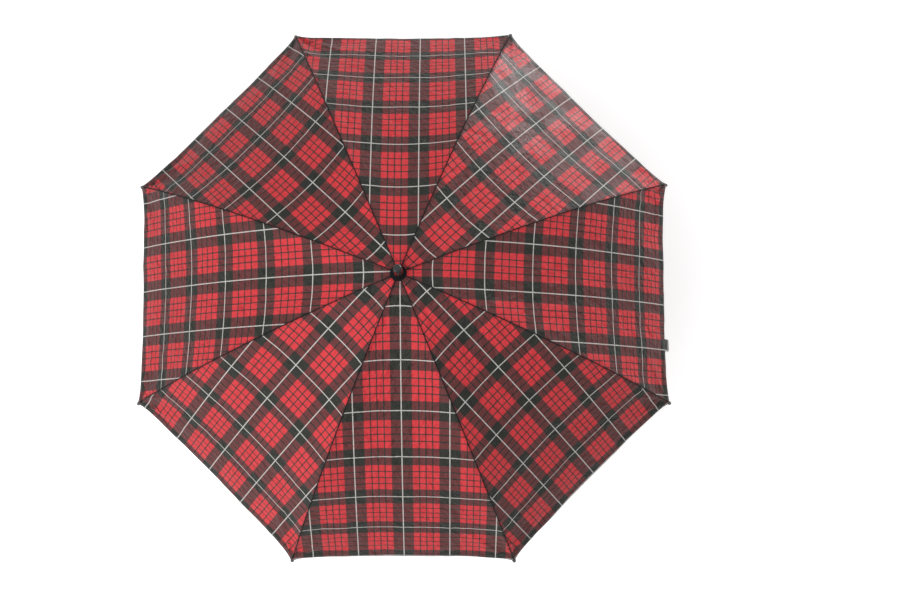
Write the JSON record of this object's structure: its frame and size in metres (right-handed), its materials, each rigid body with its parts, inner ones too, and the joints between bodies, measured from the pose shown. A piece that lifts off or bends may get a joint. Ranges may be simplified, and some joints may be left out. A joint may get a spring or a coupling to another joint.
{
  "type": "stick umbrella",
  "caption": "Open stick umbrella with a domed octagonal tartan canopy on hinged ribs and stretchers, a sliding runner and a J-hook handle.",
  "frame": {"origin": "on the shaft's axis, half-way up the straight grip of the handle", "axes": "+Z along the shaft towards the ferrule, +X towards the hook's free end"},
  "size_m": [0.9422, 0.9422, 0.8583],
  "materials": {
    "steel": "bright drawn steel",
    "dark_steel": "dark coated metal",
    "black_plastic": "gloss black moulded plastic",
    "webbing": "black woven strap",
    "tartan": "red, dark green and white tartan weave with a slight sheen"
  },
  "bodies": {
    "shaft_group": {"shaft": "steel", "ferrule": "black_plastic", "crown_rosette": "black_plastic", "top_notch": "dark_steel", "notch_wire": "steel", "handle": "black_plastic", "handle_collar": "dark_steel"},
    "runner": {"runner": "black_plastic", "runner_wire": "steel"},
    "top_catch": {"top_catch": "steel"},
    "bottom_catch": {"bottom_catch": "steel"},
    "rib_1_inner": {"rib_1_inner": "dark_steel", "canopy_gore_1": "tartan"},
    "rib_1_outer": {"rib_1_outer": "dark_steel", "rib_tip_1": "black_plastic"},
    "stretcher_1": {"stretcher_1": "dark_steel"},
    "rib_2_inner": {"rib_2_inner": "dark_steel", "canopy_gore_2": "tartan"},
    "rib_2_outer": {"rib_2_outer": "dark_steel", "rib_tip_2": "black_plastic"},
    "stretcher_2": {"stretcher_2": "dark_steel"},
    "rib_3_inner": {"rib_3_inner": "dark_steel", "canopy_gore_3": "tartan"},
    "rib_3_outer": {"rib_3_outer": "dark_steel", "rib_tip_3": "black_plastic"},
    "stretcher_3": {"stretcher_3": "dark_steel"},
    "rib_4_inner": {"rib_4_inner": "dark_steel", "canopy_gore_4": "tartan"},
    "rib_4_outer": {"rib_4_outer": "dark_steel", "rib_tip_4": "black_plastic"},
    "stretcher_4": {"stretcher_4": "dark_steel"},
    "rib_5_inner": {"rib_5_inner": "dark_steel", "canopy_gore_5": "tartan"},
    "rib_5_outer": {"rib_5_outer": "dark_steel", "rib_tip_5": "black_plastic"},
    "stretcher_5": {"stretcher_5": "dark_steel"},
    "rib_6_inner": {"rib_6_inner": "dark_steel", "canopy_gore_6": "tartan"},
    "rib_6_outer": {"rib_6_outer": "dark_steel", "rib_tip_6": "black_plastic"},
    "stretcher_6": {"stretcher_6": "dark_steel"},
    "rib_7_inner": {"rib_7_inner": "dark_steel", "canopy_gore_7": "tartan"},
    "rib_7_outer": {"rib_7_outer": "dark_steel", "rib_tip_7": "black_plastic"},
    "stretcher_7": {"stretcher_7": "dark_steel"},
    "rib_8_inner": {"rib_8_inner": "dark_steel", "canopy_gore_8": "tartan"},
    "rib_8_outer": {"rib_8_outer": "dark_steel", "rib_tip_8": "black_plastic", "tie_strap": "webbing"},
    "stretcher_8": {"stretcher_8": "dark_steel"}
  },
  "joints": [
    {"name": "runner_slide", "type": "slide", "parent": "shaft_group", "child": "runner", "axis": [0, 0, 1], "range_m": [-0.2267, 0], "deforming": ["canopy_gore_1", "canopy_gore_2", "canopy_gore_3", "canopy_gore_4", "canopy_gore_5", "canopy_gore_6", "canopy_gore_7", "canopy_gore_8", "tie_strap"]},
    {"name": "top_catch_press", "type": "slide", "parent": "shaft_group", "child": "top_catch", "axis": [1, 0, 0], "range_m": [0, 0.003], "stiffness_N_per_m": 400},
    {"name": "bottom_catch_press", "type": "slide", "parent": "shaft_group", "child": "bottom_catch", "axis": [1, 0, 0], "range_m": [0, 0.003], "stiffness_N_per_m": 400},
    {"name": "rib_1_hinge", "type": "hinge", "parent": "shaft_group", "child": "rib_1_inner", "pos_m": [0.00721, 0.00298, 0.67202], "axis": [-0.3827, 0.9239, 0], "range_deg": [0, 66.97]},
    {"name": "rib_1_flex", "type": "hinge", "parent": "rib_1_inner", "child": "rib_1_outer", "pos_m": [0.26527, 0.10988, 0.56844], "axis": [-0.3827, 0.9239, 0], "range_deg": [-20.22, 0]},
    {"name": "stretcher_1_hinge", "type": "hinge", "parent": "rib_1_inner", "child": "stretcher_1", "pos_m": [0.19681, 0.08152, 0.60908], "axis": [-0.3827, 0.9239, 0], "range_deg": [-105.01, 0]},
    {"name": "rib_2_hinge", "type": "hinge", "parent": "shaft_group", "child": "rib_2_inner", "pos_m": [0.00298, 0.00721, 0.67202], "axis": [-0.9239, 0.3827, 0], "range_deg": [0, 66.97]},
    {"name": "rib_2_flex", "type": "hinge", "parent": "rib_2_inner", "child": "rib_2_outer", "pos_m": [0.10988, 0.26527, 0.56844], "axis": [-0.9239, 0.3827, 0], "range_deg": [-20.22, 0]},
    {"name": "stretcher_2_hinge", "type": "hinge", "parent": "rib_2_inner", "child": "stretcher_2", "pos_m": [0.08152, 0.19681, 0.60908], "axis": [-0.9239, 0.3827, 0], "range_deg": [-105.01, 0]},
    {"name": "rib_3_hinge", "type": "hinge", "parent": "shaft_group", "child": "rib_3_inner", "pos_m": [-0.00298, 0.00721, 0.67202], "axis": [-0.9239, -0.3827, 0], "range_deg": [0, 66.97]},
    {"name": "rib_3_flex", "type": "hinge", "parent": "rib_3_inner", "child": "rib_3_outer", "pos_m": [-0.10988, 0.26527, 0.56844], "axis": [-0.9239, -0.3827, 0], "range_deg": [-20.22, 0]},
    {"name": "stretcher_3_hinge", "type": "hinge", "parent": "rib_3_inner", "child": "stretcher_3", "pos_m": [-0.08152, 0.19681, 0.60908], "axis": [-0.9239, -0.3827, 0], "range_deg": [-105.01, 0]},
    {"name": "rib_4_hinge", "type": "hinge", "parent": "shaft_group", "child": "rib_4_inner", "pos_m": [-0.00721, 0.00298, 0.67202], "axis": [-0.3827, -0.9239, 0], "range_deg": [0, 66.97]},
    {"name": "rib_4_flex", "type": "hinge", "parent": "rib_4_inner", "child": "rib_4_outer", "pos_m": [-0.26527, 0.10988, 0.56844], "axis": [-0.3827, -0.9239, 0], "range_deg": [-20.22, 0]},
    {"name": "stretcher_4_hinge", "type": "hinge", "parent": "rib_4_inner", "child": "stretcher_4", "pos_m": [-0.19681, 0.08152, 0.60908], "axis": [-0.3827, -0.9239, 0], "range_deg": [-105.01, 0]},
    {"name": "rib_5_hinge", "type": "hinge", "parent": "shaft_group", "child": "rib_5_inner", "pos_m": [-0.00721, -0.00298, 0.67202], "axis": [0.3827, -0.9239, 0], "range_deg": [0, 66.97]},
    {"name": "rib_5_flex", "type": "hinge", "parent": "rib_5_inner", "child": "rib_5_outer", "pos_m": [-0.26527, -0.10988, 0.56844], "axis": [0.3827, -0.9239, 0], "range_deg": [-20.22, 0]},
    {"name": "stretcher_5_hinge", "type": "hinge", "parent": "rib_5_inner", "child": "stretcher_5", "pos_m": [-0.19681, -0.08152, 0.60908], "axis": [0.3827, -0.9239, 0], "range_deg": [-105.01, 0]},
    {"name": "rib_6_hinge", "type": "hinge", "parent": "shaft_group", "child": "rib_6_inner", "pos_m": [-0.00298, -0.00721, 0.67202], "axis": [0.9239, -0.3827, 0], "range_deg": [0, 66.97]},
    {"name": "rib_6_flex", "type": "hinge", "parent": "rib_6_inner", "child": "rib_6_outer", "pos_m": [-0.10988, -0.26527, 0.56844], "axis": [0.9239, -0.3827, 0], "range_deg": [-20.22, 0]},
    {"name": "stretcher_6_hinge", "type": "hinge", "parent": "rib_6_inner", "child": "stretcher_6", "pos_m": [-0.08152, -0.19681, 0.60908], "axis": [0.9239, -0.3827, 0], "range_deg": [-105.01, 0]},
    {"name": "rib_7_hinge", "type": "hinge", "parent": "shaft_group", "child": "rib_7_inner", "pos_m": [0.00298, -0.00721, 0.67202], "axis": [0.9239, 0.3827, 0], "range_deg": [0, 66.97]},
    {"name": "rib_7_flex", "type": "hinge", "parent": "rib_7_inner", "child": "rib_7_outer", "pos_m": [0.10988, -0.26527, 0.56844], "axis": [0.9239, 0.3827, 0], "range_deg": [-20.22, 0]},
    {"name": "stretcher_7_hinge", "type": "hinge", "parent": "rib_7_inner", "child": "stretcher_7", "pos_m": [0.08152, -0.19681, 0.60908], "axis": [0.9239, 0.3827, 0], "range_deg": [-105.01, 0]},
    {"name": "rib_8_hinge", "type": "hinge", "parent": "shaft_group", "child": "rib_8_inner", "pos_m": [0.00721, -0.00298, 0.67202], "axis": [0.3827, 0.9239, 0], "range_deg": [0, 66.97]},
    {"name": "rib_8_flex", "type": "hinge", "parent": "rib_8_inner", "child": "rib_8_outer", "pos_m": [0.26527, -0.10988, 0.56844], "axis": [0.3827, 0.9239, 0], "range_deg": [-20.22, 0]},
    {"name": "stretcher_8_hinge", "type": "hinge", "parent": "rib_8_inner", "child": "stretcher_8", "pos_m": [0.19681, -0.08152, 0.60908], "axis": [0.3827, 0.9239, 0], "range_deg": [-105.01, 0]}
  ],
  "couplings": [
    {"joint": "rib_1_hinge", "follows": "runner_slide", "rad_per_m": -5.1523},
    {"joint": "rib_1_flex", "follows": "runner_slide", "rad_per_m": 1.5532},
    {"joint": "stretcher_1_hinge", "follows": "runner_slide", "rad_per_m": 8.081},
    {"joint": "rib_2_hinge", "follows": "runner_slide", "rad_per_m": -5.1523},
    {"joint": "rib_2_flex", "follows": "runner_slide", "rad_per_m": 1.5532},
    {"joint": "stretcher_2_hinge", "follows": "runner_slide", "rad_per_m": 8.081},
    {"joint": "rib_3_hinge", "follows": "runner_slide", "rad_per_m": -5.1523},
    {"joint": "rib_3_flex", "follows": "runner_slide", "rad_per_m": 1.5532},
    {"joint": "stretcher_3_hinge", "follows": "runner_slide", "rad_per_m": 8.081},
    {"joint": "rib_4_hinge", "follows": "runner_slide", "rad_per_m": -5.1523},
    {"joint": "rib_4_flex", "follows": "runner_slide", "rad_per_m": 1.5532},
    {"joint": "stretcher_4_hinge", "follows": "runner_slide", "rad_per_m": 8.081},
    {"joint": "rib_5_hinge", "follows": "runner_slide", "rad_per_m": -5.1523},
    {"joint": "rib_5_flex", "follows": "runner_slide", "rad_per_m": 1.5532},
    {"joint": "stretcher_5_hinge", "follows": "runner_slide", "rad_per_m": 8.081},
    {"joint": "rib_6_hinge", "follows": "runner_slide", "rad_per_m": -5.1523},
    {"joint": "rib_6_flex", "follows": "runner_slide", "rad_per_m": 1.5532},
    {"joint": "stretcher_6_hinge", "follows": "runner_slide", "rad_per_m": 8.081},
    {"joint": "rib_7_hinge", "follows": "runner_slide", "rad_per_m": -5.1523},
    {"joint": "rib_7_flex", "follows": "runner_slide", "rad_per_m": 1.5532},
    {"joint": "stretcher_7_hinge", "follows": "runner_slide", "rad_per_m": 8.081},
    {"joint": "rib_8_hinge", "follows": "runner_slide", "rad_per_m": -5.1523},
    {"joint": "rib_8_flex", "follows": "runner_slide", "rad_per_m": 1.5532},
    {"joint": "stretcher_8_hinge", "follows": "runner_slide", "rad_per_m": 8.081}
  ]
}
